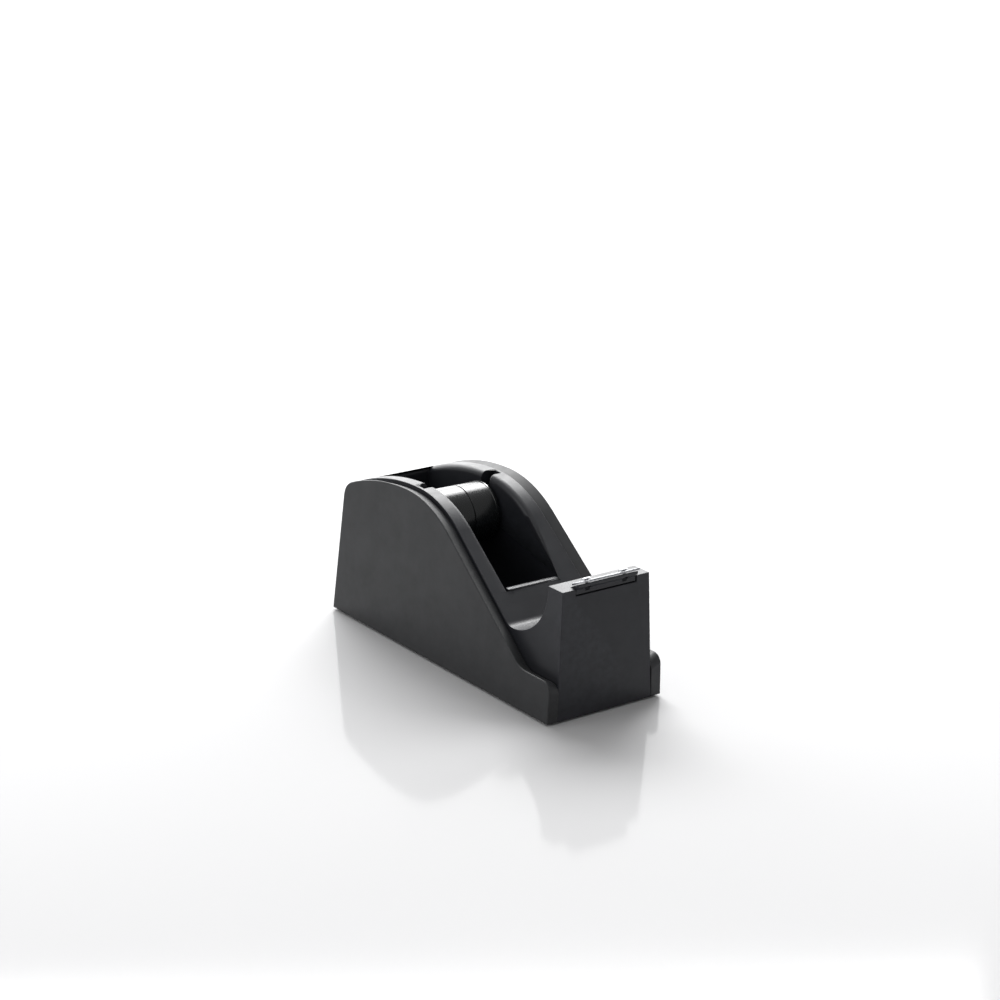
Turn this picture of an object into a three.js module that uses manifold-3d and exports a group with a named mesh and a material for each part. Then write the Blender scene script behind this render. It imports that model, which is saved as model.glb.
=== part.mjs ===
// Desk tape dispenser: a weighted base with an open roll well between two cheeks, a lift-out hub
// for rolls on a 25 mm core, and a front tower that carries a toothed steel blade.
// Millimetres, +Z up. The tower faces -Y, the back faces +Y, and the width runs along X.
// The origin is on the surface that the feet rest on, in the middle of the overall box.
import * as THREE from 'three';
import { mergeVertices } from 'three/addons/utils/BufferGeometryUtils.js';
import Module from 'manifold-3d';

const wasm = await Module();
wasm.setup();

// ---- Driving dimensions ------------------------------------------------------------------------

const gap = 0.3; // between two pieces that touch

// Body, seen from the side
const baseLength = 150; // front face to the heel of the back face
const crownHeight = 67.4; // highest point of the cheeks above the table
const crownFromHeel = 51; // crown's highest point to the heel
const crownFrontRadius = 47.6;
const crownBackRadius = 104;
const backLean = 0.11; // how far the back face leans forward, per mm of height
const backCornerReach = 5;
const toeHeight = 17.6;
const toeLength = 19;
const toeCornerRadius = 4;
const toeTurnRadius = 10;
const wallsAboveTable = 0.8;

// Body, seen from the front
const baseWidth = 56; // across the two side shells at the table
const sideDraft = 0.03; // how far each side leans inward, per mm of height
const frameWidth = 46.4; // centre frame at the table
const frameDraft = 0.04;
const stripFall = 1.9; // a shell's top strip is this much lower beside the frame
const shellWall = 2.2;
const frameWall = 2.3;

// Roll well
const wellWidth = 27;
const wellFromFront = 49; // front face to the well's front wall
const wellLength = 90.5;
const wellFloor = 14;
const wellCornerRadius = 6;
const tubWall = 2;

// Tower
const towerHeight = 52.5;
const towerLean = 1.8; // top of the front face behind its foot
const valleyFloor = 29; // lowest point of the dip behind the tower
const valleyRadius = 21; // tower's back
const valleyTurnRadius = 5; // where the slope meets the floor of the dip

// Hub and axle
const hubFromFront = 99;
const hubHeight = 51.5; // axis above the table
const hubRadius = 12.5;
const hubWall = 2;
const axleRadius = 2.5;
const axleEndWall = 1.9; // wall left between each end pocket and the frame's side, at the axis
const axlePocketWall = 3;
const spacerThickness = 0.6;
const spacerRadius = 4.5;

// Blade and its carrier
const bladeWidth = 29;
const bladeThickness = 0.8;
const bladeLength = 7.6; // back edge to the tips in the middle
const bladeSlope = THREE.MathUtils.degToRad(24);
const bladeArch = 0.7; // the row of tips bows forward by this much
const bladeBackEdge = 2.9; // back edge behind the top of the front face
const toothCount = 14;
const toothDepth = 1.7;
const carrierDepth = 3.0;
const carrierSeat = 2.3; // carrier's underside below the tower's top
const carrierLip = 1.2; // carrier's nose in front of the front face
const bladeScrewSpacing = 18;
const bladeScrewRadius = 1;
const bladeScrewLength = 2.1;
const bladeScrewHeadRadius = 1.9;
const bladeScrewHeadHeight = 0.8;

// Base plate, feet and fasteners
const plateThickness = 2.8;
const footRadius = 5.5;
const footHeight = 2;
const footFromEnd = 9.5;
const footSpacing = 37;
const baseScrewRadius = 1.5;
const baseScrewHeadRadius = 2.8;
const baseScrewHeadHeight = 1.2;
const baseScrewLength = 7;
const baseScrewSpacing = 24;
const frontScrewFromFront = 21;
const rearScrewFromHeel = 24;
const postRadius = 3.5;
const ballastScrewRadius = 2;
const ballastScrewHeadRadius = 4;
const ballastScrewHeadHeight = 1.3;
const ballastScrewLength = 7;

// Ballast
const ballastWidth = 34;
const frontBallastWidth = 15;
const frontBallastHeight = 21;

// ---- Places worked out from the driving dimensions ---------------------------------------------

const bladeReach = bladeLength * Math.cos(bladeSlope) - bladeBackEdge - towerLean;
const frontFace = (bladeReach - baseLength) / 2;
const heel = frontFace + baseLength;
const towerTopFront = frontFace + towerLean;
const plateBottom = wallsAboveTable;
const plateTop = plateBottom + plateThickness;
const insideFloor = plateTop + gap;
const wellFront = frontFace + wellFromFront;
const wellBack = wellFront + wellLength;
const tubFloor = wellFloor - tubWall;
const hubY = frontFace + hubFromFront;
const backAt = (z) => heel - backLean * (z - wallsAboveTable);
const outerHalf = (z) => baseWidth / 2 - sideDraft * (z - wallsAboveTable);
const frameHalf = (z) => frameWidth / 2 - frameDraft * z;

// The slope runs from the toe's inner corner to the crown's front arc, which it touches.
const crownY = heel - crownFromHeel;
const crownFront = new THREE.Vector2(crownY, crownHeight - crownFrontRadius);
const crownBack = new THREE.Vector2(crownY, crownHeight - crownBackRadius);
const toeInner = new THREE.Vector2(frontFace + toeLength, toeHeight);
const toCrown = crownFront.clone().sub(toeInner);
const slopeAngle = toCrown.angle() + Math.asin(crownFrontRadius / toCrown.length());
const slopeNormal = new THREE.Vector2(-Math.sin(slopeAngle), Math.cos(slopeAngle));
const slopeOffset = slopeNormal.dot(toeInner);

// Y of the slope, moved inward by inset, at height z.
function slopeYAt(z, inset) {
  return (slopeOffset - inset - slopeNormal.y * z) / slopeNormal.x;
}

// ---- Outlines in the side view, with (x, y) of a shape standing for (Y, Z) ---------------------

const point = (y, z) => new THREE.Vector2(y, z);

// Runs the path up to the corner and round it with an arc.
function roundCorner(path, before, corner, after, radius) {
  const inward = before.clone().sub(corner).normalize();
  const outward = after.clone().sub(corner).normalize();
  const halfAngle = Math.acos(inward.dot(outward)) / 2;
  const reach = radius / Math.tan(halfAngle);
  const start = corner.clone().addScaledVector(inward, reach);
  const end = corner.clone().addScaledVector(outward, reach);
  const bisector = inward.clone().add(outward).normalize();
  const centre = corner.clone().addScaledVector(bisector, radius / Math.sin(halfAngle));
  const clockwise = inward.cross(outward) > 0;
  path.lineTo(start.x, start.y);
  path.absarc(centre.x, centre.y, radius, start.sub(centre).angle(), end.sub(centre).angle(), clockwise);
}

// Heel, back face, rounded back corner and crown, down to where the slope begins.
function backAndCrown(shape, inset, bottom) {
  const lean = point(-backLean, 1).normalize();
  const foot = point(backAt(bottom) - inset / lean.y, bottom);
  const radius = crownBackRadius - inset;
  const toFoot = foot.clone().sub(crownBack);
  const along = toFoot.dot(lean);
  const rise = Math.sqrt(along * along - toFoot.lengthSq() + radius * radius) - along;
  const corner = foot.clone().addScaledVector(lean, rise);
  const reach = Math.max(backCornerReach - inset, 1);
  const turn = reach / radius;
  const arcStart = corner.clone().sub(crownBack).angle() + turn;
  const onArc = crownBack.clone().add(point(Math.cos(arcStart), Math.sin(arcStart)).multiplyScalar(radius));
  const onBack = corner.clone().addScaledVector(lean, -reach);
  shape.lineTo(foot.x, foot.y);
  shape.lineTo(onBack.x, onBack.y);
  shape.quadraticCurveTo(corner.x, corner.y, onArc.x, onArc.y);
  shape.absarc(crownBack.x, crownBack.y, radius, arcStart, Math.PI / 2, false);
  const slopeStart = Math.PI / 2 + slopeAngle;
  shape.absarc(crownFront.x, crownFront.y, crownFrontRadius - inset, Math.PI / 2, slopeStart, false);
}

// A cheek: toe, slope, crown and back. The outline can be drawn inside itself by an inset.
function cheekShape(inset, bottom) {
  const front = frontFace + inset;
  const top = toeHeight - inset;
  const inner = point(slopeYAt(top, inset), top);
  const onSlope = point(slopeYAt(crownHeight, inset), crownHeight);
  const shape = new THREE.Shape();
  shape.moveTo(front, bottom);
  backAndCrown(shape, inset, bottom);
  roundCorner(shape, onSlope, inner, point(front, top), toeTurnRadius + inset);
  roundCorner(shape, inner, point(front, top), point(front, bottom), Math.max(toeCornerRadius - inset, 1));
  return shape;
}

// The centre frame: as a cheek at the back, with the dip and the tower in place of the toe.
function frameShape(inset, bottom) {
  const valleyZ = valleyFloor + valleyRadius;
  const valleyY = slopeYAt(valleyFloor, 0) - valleyTurnRadius * Math.tan(slopeAngle / 2);
  const dip = point(slopeYAt(valleyFloor - inset, inset), valleyFloor - inset);
  const radius = valleyRadius + inset;
  const top = towerHeight - inset;
  const topAngle = Math.PI - Math.asin((top - valleyZ) / radius);
  const leanPerRise = towerLean / (towerHeight - wallsAboveTable);
  const leanAt = (z) => frontFace + inset + leanPerRise * (z - wallsAboveTable);
  const shape = new THREE.Shape();
  shape.moveTo(leanAt(bottom), bottom);
  backAndCrown(shape, inset, bottom);
  roundCorner(shape, point(slopeYAt(crownHeight, inset), crownHeight), dip, point(dip.x - 1, dip.y),
    valleyTurnRadius + inset);
  shape.absarc(valleyY, valleyZ, radius, -Math.PI / 2, topAngle, true);
  if (inset === 0) shape.lineTo(leanAt(top), top);
  return shape;
}

// ---- Solids ------------------------------------------------------------------------------------

// Extrudes a side-view shape across X, from plane xLow(z) to plane xHigh(z).
function slab(shape, xLow, xHigh, dropLow = () => 0) {
  const geometry = new THREE.ExtrudeGeometry(shape, { depth: 1, bevelEnabled: false, curveSegments: 5 });
  const place = geometry.getAttribute('position');
  for (let i = 0; i < place.count; i += 1) {
    const y = place.getX(i);
    const low = place.getZ(i) < 0.5;
    const z = place.getY(i) - (low ? dropLow(place.getY(i)) : 0);
    place.setXYZ(i, low ? xLow(z) : xHigh(z), y, z);
  }
  return solid(geometry);
}

// Turns a closed three.js geometry into a solid that can be joined and cut.
function solid(geometry) {
  geometry.deleteAttribute('normal');
  geometry.deleteAttribute('uv');
  const merged = mergeVertices(geometry, 1e-5);
  const mesh = new wasm.Mesh({
    numProp: 3,
    vertProperties: new Float32Array(merged.getAttribute('position').array),
    triVerts: new Uint32Array(merged.index.array),
  });
  return new wasm.Manifold(mesh);
}

function box(x0, x1, y0, y1, z0, z1) {
  const geometry = new THREE.BoxGeometry(x1 - x0, y1 - y0, z1 - z0);
  geometry.translate((x0 + x1) / 2, (y0 + y1) / 2, (z0 + z1) / 2);
  return solid(geometry);
}

function uprightCylinder(radius, x, y, z0, z1, segments = 20) {
  const geometry = new THREE.CylinderGeometry(radius, radius, z1 - z0, segments);
  geometry.rotateX(Math.PI / 2);
  geometry.translate(x, y, (z0 + z1) / 2);
  return solid(geometry);
}

function crossCylinder(radius, x0, x1, y, z, segments = 24) {
  const geometry = new THREE.CylinderGeometry(radius, radius, x1 - x0, segments);
  geometry.rotateZ(Math.PI / 2);
  geometry.translate((x0 + x1) / 2, y, z);
  return solid(geometry);
}

// A screw standing on its head, with the underside of the head at height zero, pointing up.
function screwGeometry(radius, length, headRadius, headHeight) {
  const profile = [
    point(0, -headHeight),
    point(headRadius * 0.8, -headHeight),
    point(headRadius, -headHeight * 0.5),
    point(headRadius, 0),
    point(radius, 0),
    point(radius, length - radius),
    point(radius * 0.5, length),
    point(0, length),
  ];
  const geometry = new THREE.LatheGeometry(profile, 20);
  geometry.rotateX(Math.PI / 2);
  return geometry;
}

// A ring round an X axis, from a closed list of (radius, x) corners.
function turnedAboutX(corners, y, z) {
  const profile = corners.map(([radius, x]) => point(radius, x));
  profile.push(profile[0].clone());
  const geometry = new THREE.LatheGeometry(profile, 32);
  geometry.rotateZ(-Math.PI / 2);
  geometry.translate(0, y, z);
  return solid(geometry);
}

// ---- Materials ---------------------------------------------------------------------------------

function finish(colour, roughness, metalness = 0) {
  return new THREE.MeshStandardMaterial({ color: colour, roughness, metalness });
}

const shellPlastic = finish(0x2b2c2e, 0.42);
const framePlastic = finish(0x242527, 0.36);
const hubPlastic = finish(0x1b1c1e, 0.2);
const rubber = finish(0x17181a, 0.85);
const bladeSteel = finish(0xb9bcc0, 0.3, 1);
const screwSteel = finish(0x8e9196, 0.35, 1);
const castIron = finish(0x4a4744, 0.7, 0.6);

const dispenser = new THREE.Group();

function add(name, shape, material) {
  const mesh = shape.getMesh();
  const geometry = new THREE.BufferGeometry();
  geometry.setAttribute('position', new THREE.BufferAttribute(mesh.vertProperties, 3));
  geometry.setIndex(new THREE.BufferAttribute(mesh.triVerts, 1));
  const faceted = geometry.toNonIndexed();
  faceted.computeVertexNormals();
  const piece = new THREE.Mesh(faceted, material);
  piece.name = name;
  dispenser.add(piece);
  return piece;
}

// ---- Base plate, feet and base screws ----------------------------------------------------------

const plateHalf = outerHalf(plateTop) - shellWall - gap;
const plateFront = frontFace + frameWall + towerLean * (plateTop / towerHeight) + gap;
const plateBack = backAt(plateTop) - frameWall - 2 * gap;
const feet = [
  ['front_left_foot', -1, frontFace + footFromEnd],
  ['front_right_foot', 1, frontFace + footFromEnd],
  ['rear_left_foot', -1, heel - footFromEnd],
  ['rear_right_foot', 1, heel - footFromEnd],
];
const baseScrews = [
  ['front_left_base_screw', -1, frontFace + frontScrewFromFront],
  ['front_right_base_screw', 1, frontFace + frontScrewFromFront],
  ['rear_left_base_screw', -1, heel - rearScrewFromHeel],
  ['rear_right_base_screw', 1, heel - rearScrewFromHeel],
];
const ballastFront = wellFront + 4;
const ballastBack = heel - rearScrewFromHeel - postRadius - 1;
const ballastTop = tubFloor - gap;
const frontBallastBack = wellFront - tubWall - 1;
const frontBallastFront = plateFront + 1;
const ballastScrews = [
  ['front_ballast_screw', (frontBallastFront + frontBallastBack) / 2],
  ['middle_ballast_screw', ballastFront + (ballastBack - ballastFront) / 4],
  ['rear_ballast_screw', ballastFront + ((ballastBack - ballastFront) * 3) / 4],
];
const baseScrewHeadTop = plateBottom + baseScrewHeadHeight + gap;
const ballastScrewHeadTop = plateBottom + ballastScrewHeadHeight + gap;

let plate = box(-plateHalf, plateHalf, plateFront, plateBack, plateBottom, plateTop);
for (const [name, side, y] of feet) {
  const x = (side * footSpacing) / 2;
  const top = footHeight + gap;
  plate = plate.subtract(uprightCylinder(footRadius + gap, x, y, 0, top, 28));
  add(name, uprightCylinder(footRadius, x, y, 0, footHeight, 28), rubber);
}

// A fastener driven up from below: the hole it needs in the plate, and the screw itself.
function screwFromBelow(name, x, y, radius, length, headRadius, headHeight, headTop, material) {
  plate = plate.subtract(uprightCylinder(headRadius + gap, x, y, 0, headTop + gap));
  plate = plate.subtract(uprightCylinder(radius + gap, x, y, 0, plateTop + 1));
  const geometry = screwGeometry(radius, length, headRadius, headHeight);
  geometry.translate(x, y, headTop);
  add(name, solid(geometry), material);
}

for (const [name, side, y] of baseScrews) {
  const x = (side * baseScrewSpacing) / 2;
  screwFromBelow(name, x, y, baseScrewRadius, baseScrewLength, baseScrewHeadRadius, baseScrewHeadHeight,
    baseScrewHeadTop, screwSteel);
}
for (const [name, y] of ballastScrews) {
  screwFromBelow(name, 0, y, ballastScrewRadius, ballastScrewLength, ballastScrewHeadRadius,
    ballastScrewHeadHeight, ballastScrewHeadTop, screwSteel);
}
add('base_plate', plate, framePlastic);

// ---- Ballast -----------------------------------------------------------------------------------

const ballastHole = (y) => uprightCylinder(ballastScrewRadius + gap, 0, y, 0,
  ballastScrewHeadTop + ballastScrewLength + gap);
const frontBallastHalf = frontBallastWidth / 2;
const frontBallastRoom = slab(frameShape(frameWall + 2 * gap, -1), () => -frontBallastHalf,
  () => frontBallastHalf);
const frontBallast = box(-frontBallastHalf - 1, frontBallastHalf + 1, frontBallastFront, frontBallastBack,
  insideFloor, insideFloor + frontBallastHeight)
  .intersect(frontBallastRoom)
  .subtract(ballastHole(ballastScrews[0][1]));
add('front_ballast', frontBallast, castIron);
const mainBallastHalf = ballastWidth / 2;
const mainBallast = box(-mainBallastHalf, mainBallastHalf, ballastFront, ballastBack, insideFloor, ballastTop)
  .subtract(ballastHole(ballastScrews[1][1]))
  .subtract(ballastHole(ballastScrews[2][1]));
add('main_ballast', mainBallast, castIron);

const sideBallastOuter = (z) => outerHalf(z) - shellWall - gap;
const sideBallastInner = (z) => frameHalf(z) + 2 * gap;
const sideBallastShape = cheekShape(shellWall + stripFall + 1, insideFloor + gap);
const rightSideBallast = slab(sideBallastShape, sideBallastInner, sideBallastOuter);
add('right_side_ballast', rightSideBallast, castIron);
add('left_side_ballast', rightSideBallast.mirror([1, 0, 0]), castIron);

// ---- Side shells -------------------------------------------------------------------------------

const plateClearance = box(-plateHalf - gap, plateHalf + gap, plateFront - gap, plateBack + gap, 0,
  insideFloor);

// The strip on top of a shell falls towards the frame. Its fall fades out below the toe.
function stripDrop(z) {
  const fullFrom = toeHeight - toeCornerRadius;
  const share = (z - wallsAboveTable) / (fullFrom - wallsAboveTable);
  return stripFall * Math.min(Math.max(share, 0), 1);
}

const shellInner = (z) => frameHalf(z) + gap;
const shellHollowOuter = (z) => outerHalf(z) - shellWall;
const rightShell = slab(cheekShape(0, wallsAboveTable), shellInner, outerHalf, stripDrop)
  .subtract(slab(cheekShape(shellWall + stripFall, 0), (z) => shellInner(z) - 1, shellHollowOuter))
  .subtract(plateClearance);
add('right_side_shell', rightShell, shellPlastic);
add('left_side_shell', rightShell.mirror([1, 0, 0]), shellPlastic);

// ---- Centre frame: outer skin, tub, posts, axle pockets ----------------------------------------

const negative = (plane) => (z) => -plane(z);
const hollowHalf = (z) => frameHalf(z) - frameWall;
const tubHalf = wellWidth / 2 + tubWall;
const skinShape = frameShape(0, wallsAboveTable);
const fullFrame = slab(skinShape, negative(frameHalf), frameHalf);
const above = 100;
const pocketHalf = axleRadius + gap + axlePocketWall;
const pocketReach = frameHalf(hubHeight) - axleEndWall;

// The hollow inside the skin leaves the tub's walls, the posts and the axle pockets standing.
let hollow = slab(frameShape(frameWall, -1), negative(hollowHalf), hollowHalf)
  .subtract(box(-tubHalf, tubHalf, wellFront - tubWall, wellBack + tubWall, tubFloor, above))
  .subtract(box(-frameWidth, frameWidth, hubY - pocketHalf, hubY + pocketHalf, hubHeight - pocketHalf,
    above));
for (const [, side, y] of baseScrews) {
  const x = (side * baseScrewSpacing) / 2;
  const postTop = y < wellFront ? above : tubFloor + 1;
  hollow = hollow.subtract(uprightCylinder(postRadius, x, y, insideFloor, postTop));
}
let frame = fullFrame.subtract(hollow);

// The well: a pocket with rounded bottom corners, open at the top.
const wellShape = new THREE.Shape();
wellShape.moveTo(wellFront, above);
roundCorner(wellShape, point(wellFront, above), point(wellFront, wellFloor), point(wellBack, wellFloor),
  wellCornerRadius);
roundCorner(wellShape, point(wellFront, wellFloor), point(wellBack, wellFloor), point(wellBack, above),
  wellCornerRadius);
wellShape.lineTo(wellBack, above);
frame = frame.subtract(slab(wellShape, () => -wellWidth / 2, () => wellWidth / 2));

// A U slot in each cheek, in which the ends of the axle stand.
const slotRadius = axleRadius + gap;
frame = frame
  .subtract(crossCylinder(slotRadius, -pocketReach, pocketReach, hubY, hubHeight))
  .subtract(box(-pocketReach, pocketReach, hubY - slotRadius, hubY + slotRadius, hubHeight, above));
for (const [, side, y] of baseScrews) {
  const x = (side * baseScrewSpacing) / 2;
  const holeTop = baseScrewHeadTop + baseScrewLength + gap;
  frame = frame.subtract(uprightCylinder(baseScrewRadius + gap, x, y, 0, holeTop));
}

// The notch across the tower's top, in which the blade carrier sits.
const carrierBottom = towerHeight - carrierSeat;
const notchHalf = bladeWidth / 2 + gap;
const notchBack = towerTopFront + carrierDepth + gap;
frame = frame
  .subtract(box(-notchHalf, notchHalf, frontFace - 1, notchBack, carrierBottom - gap, above))
  .subtract(plateClearance);
add('centre_frame', frame, framePlastic);

// ---- Blade carrier, blade and blade screws -----------------------------------------------------

const slopeRise = Math.tan(bladeSlope);
const carrierBack = towerTopFront + carrierDepth;
const carrierTopBack = towerHeight + 0.4;
const carrierNose = towerTopFront - carrierLip;
const carrierTopAt = (y) => carrierTopBack + (carrierBack - y) * slopeRise;
const carrierShape = new THREE.Shape([
  point(towerTopFront + gap, carrierBottom),
  point(carrierBack, carrierBottom),
  point(carrierBack, carrierTopBack),
  point(carrierNose, carrierTopAt(carrierNose)),
  point(carrierNose, carrierTopAt(carrierNose) - 1.2),
  point(towerTopFront + gap, towerHeight - 0.6),
]);
const bladeBack = towerTopFront + bladeBackEdge;
const bladeRest = carrierTopAt(bladeBack) + gap / Math.cos(bladeSlope);

// Puts a geometry drawn flat, pointing along -Y from its back edge, on the carrier's slope.
function onSlope(geometry) {
  geometry.rotateX(-bladeSlope);
  geometry.translate(0, bladeBack, bladeRest);
  return solid(geometry);
}

const bladeShape = new THREE.Shape();
const pitch = bladeWidth / toothCount;
const tipAt = (x) => -bladeLength + bladeArch * (2 * x / bladeWidth) ** 2;
bladeShape.moveTo(bladeWidth / 2, 0);
bladeShape.lineTo(-bladeWidth / 2, 0);
for (let tooth = 0; tooth < toothCount; tooth += 1) {
  const start = -bladeWidth / 2 + tooth * pitch;
  bladeShape.lineTo(start, tipAt(start) + toothDepth);
  bladeShape.lineTo(start + pitch / 2, tipAt(start + pitch / 2));
}
bladeShape.lineTo(bladeWidth / 2, tipAt(bladeWidth / 2) + toothDepth);
const bladeScrewSeat = -bladeScrewHeadRadius - 0.4;
let blade = onSlope(new THREE.ExtrudeGeometry(bladeShape, { depth: bladeThickness, bevelEnabled: false }));
let carrier = slab(carrierShape, () => -bladeWidth / 2, () => bladeWidth / 2);
for (const [name, side] of [['left_blade_screw', -1], ['right_blade_screw', 1]]) {
  const x = (side * bladeScrewSpacing) / 2;
  const hole = new THREE.CylinderGeometry(bladeScrewRadius + gap, bladeScrewRadius + gap, 6, 16);
  hole.rotateX(Math.PI / 2);
  hole.translate(x, bladeScrewSeat, bladeThickness - bladeScrewLength - gap + 3);
  const cut = onSlope(hole);
  blade = blade.subtract(cut);
  carrier = carrier.subtract(cut);
  const screw = screwGeometry(bladeScrewRadius, bladeScrewLength, bladeScrewHeadRadius, bladeScrewHeadHeight);
  screw.rotateX(Math.PI);
  screw.translate(x, bladeScrewSeat, bladeThickness + gap);
  add(name, onSlope(screw), screwSteel);
}
add('cutter_blade', blade, bladeSteel);
add('blade_carrier', carrier, framePlastic);

// ---- Axle, spacers and the two halves of the hub -----------------------------------------------

const axleHalf = pocketReach - gap;
const spacerOuter = wellWidth / 2 - gap;
const spacerInner = spacerOuter - spacerThickness;
const hubEnd = spacerInner - gap;
const boreRadius = axleRadius + gap;
add('axle', crossCylinder(axleRadius, -axleHalf, axleHalf, hubY, hubHeight), framePlastic);
for (const [hubName, spacerName, side] of [['left_hub_half', 'left_spacer', -1],
  ['right_hub_half', 'right_spacer', 1]]) {
  const spacer = turnedAboutX([[boreRadius, spacerInner], [spacerRadius, spacerInner],
    [spacerRadius, spacerOuter], [boreRadius, spacerOuter]], hubY, hubHeight);
  const half = turnedAboutX([[boreRadius, hubEnd - hubWall], [hubRadius - hubWall, hubEnd - hubWall],
    [hubRadius - hubWall, gap / 2], [hubRadius, gap / 2], [hubRadius, hubEnd], [boreRadius, hubEnd]],
  hubY, hubHeight);
  add(spacerName, side < 0 ? spacer.mirror([1, 0, 0]) : spacer, screwSteel);
  add(hubName, side < 0 ? half.mirror([1, 0, 0]) : half, hubPlastic);
}

export default dispenser;
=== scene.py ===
"""Desk tape dispenser: weighted body with an open roll well, lift-out hub and toothed steel blade.

Sizes in the classes are millimetres, and the modelling helpers turn them into metres. The axes are
the frame's own: the feet stand on z = 0, the tower faces -Y and the width runs along X.
"""

import logging
import math
from dataclasses import dataclass
from enum import Enum
from typing import Callable, Optional, Sequence

import bmesh
import bpy
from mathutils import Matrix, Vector


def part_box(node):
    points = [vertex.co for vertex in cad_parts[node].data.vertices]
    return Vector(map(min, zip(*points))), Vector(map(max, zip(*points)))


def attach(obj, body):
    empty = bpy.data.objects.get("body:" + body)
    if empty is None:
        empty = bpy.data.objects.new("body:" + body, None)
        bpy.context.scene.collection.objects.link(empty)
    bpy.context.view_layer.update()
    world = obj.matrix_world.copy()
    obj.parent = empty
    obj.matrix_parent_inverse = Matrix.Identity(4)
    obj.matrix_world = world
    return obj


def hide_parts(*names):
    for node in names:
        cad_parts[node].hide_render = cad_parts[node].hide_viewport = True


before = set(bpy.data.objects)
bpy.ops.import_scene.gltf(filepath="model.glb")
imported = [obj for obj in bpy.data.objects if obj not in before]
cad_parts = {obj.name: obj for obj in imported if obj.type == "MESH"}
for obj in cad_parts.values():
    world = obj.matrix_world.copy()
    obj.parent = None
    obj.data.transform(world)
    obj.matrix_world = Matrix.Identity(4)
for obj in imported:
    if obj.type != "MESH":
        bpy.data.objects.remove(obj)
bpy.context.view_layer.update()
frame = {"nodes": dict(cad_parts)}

LOG = logging.getLogger("dispenser")
MM = 0.001

Pair = tuple[float, float]
Triple = tuple[float, float, float]


class Slot(Enum):
    """Names of material slots."""

    SHELL = "shell_plastic"
    FRAME = "frame_plastic"
    HUB = "hub_plastic"
    RUBBER = "foot_rubber"
    BLADE = "blade_steel"
    SCREW = "screw_steel"
    IRON = "ballast_iron"


class Body(Enum):
    """Moving bodies of the frame."""

    HOUSING = "housing"
    AXLE = "axle_set"
    HUB = "hub"


class Side(Enum):
    """Left and right of the body, as the sign of X."""

    LEFT = -1
    RIGHT = 1


# ---- Modelling helpers ---------------------------------------------------------------------------


def take(piece: bpy.types.Object) -> None:
    """Makes one object the only selected and active one, in object mode.

    Args:
        piece: Object to work on.
    """
    if bpy.context.object is not None and bpy.context.object.mode != "OBJECT":
        bpy.ops.object.mode_set(mode="OBJECT")
    bpy.ops.object.select_all(action="DESELECT")
    piece.select_set(True)
    bpy.context.view_layer.objects.active = piece


def release() -> None:
    """Leaves edit mode and selects nothing."""
    if bpy.context.object is not None and bpy.context.object.mode != "OBJECT":
        bpy.ops.object.mode_set(mode="OBJECT")
    bpy.ops.object.select_all(action="DESELECT")


def settle(piece: bpy.types.Object) -> None:
    """Moves an object's place, turn and scale into its mesh."""
    take(piece)
    bpy.ops.object.transform_apply(location=True, rotation=True, scale=True)


def edit(piece: bpy.types.Object) -> None:
    """Opens one object in edit mode with nothing of it selected."""
    take(piece)
    bpy.ops.object.mode_set(mode="EDIT")
    bpy.ops.mesh.select_all(action="DESELECT")


def pick_vertices(piece: bpy.types.Object, test: Callable[[Vector], bool]) -> None:
    """Selects, in edit mode, the vertices at places that pass a test.

    Args:
        piece: Object that is open in edit mode.
        test: Says whether a vertex at this place, in millimetres, is selected.
    """
    bpy.ops.mesh.select_mode(type="VERT")
    bpy.ops.mesh.select_all(action="DESELECT")
    mesh = bmesh.from_edit_mesh(piece.data)
    for vertex in mesh.verts:
        vertex.select_set(test(vertex.co / MM))
    mesh.select_flush_mode()
    bmesh.update_edit_mesh(piece.data)


def pick_edges(piece: bpy.types.Object, test: Callable[[Vector, Vector], bool]) -> None:
    """Selects, in edit mode, the edges whose two ends pass a test.

    Args:
        piece: Object that is open in edit mode.
        test: Says whether an edge with these ends, in millimetres, is selected.
    """
    bpy.ops.mesh.select_mode(type="EDGE")
    bpy.ops.mesh.select_all(action="DESELECT")
    mesh = bmesh.from_edit_mesh(piece.data)
    for edge in mesh.edges:
        edge.select_set(test(edge.verts[0].co / MM, edge.verts[1].co / MM))
    bmesh.update_edit_mesh(piece.data)


def pick_faces(piece: bpy.types.Object, test: Callable[[Vector, Vector], bool]) -> None:
    """Selects, in edit mode, the faces whose middle and normal pass a test.

    Args:
        piece: Object that is open in edit mode.
        test: Says whether a face with this middle, in millimetres, and normal is selected.
    """
    bpy.ops.mesh.select_mode(type="FACE")
    bpy.ops.mesh.select_all(action="DESELECT")
    mesh = bmesh.from_edit_mesh(piece.data)
    for face in mesh.faces:
        face.select_set(test(face.calc_center_median() / MM, face.normal))
    bmesh.update_edit_mesh(piece.data)


def face_outwards(piece: bpy.types.Object) -> None:
    """Merges doubled vertices and turns every face outwards."""
    edit(piece)
    bpy.ops.mesh.select_all(action="SELECT")
    bpy.ops.mesh.remove_doubles(threshold=0.002 * MM)
    bpy.ops.mesh.normals_make_consistent(inside=False)
    release()


def halve(piece: bpy.types.Object, place: Triple, outward: Triple) -> None:
    """Cuts off all that lies beyond a plane and closes the cut.

    Args:
        piece: Object to cut.
        place: A point of the plane, in millimetres.
        outward: The plane's normal, towards the side that goes.
    """
    edit(piece)
    bpy.ops.mesh.select_all(action="SELECT")
    bpy.ops.mesh.bisect(plane_co=Vector(place) * MM, plane_no=Vector(outward).normalized(),
                        use_fill=True, clear_outer=True)
    release()


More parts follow.
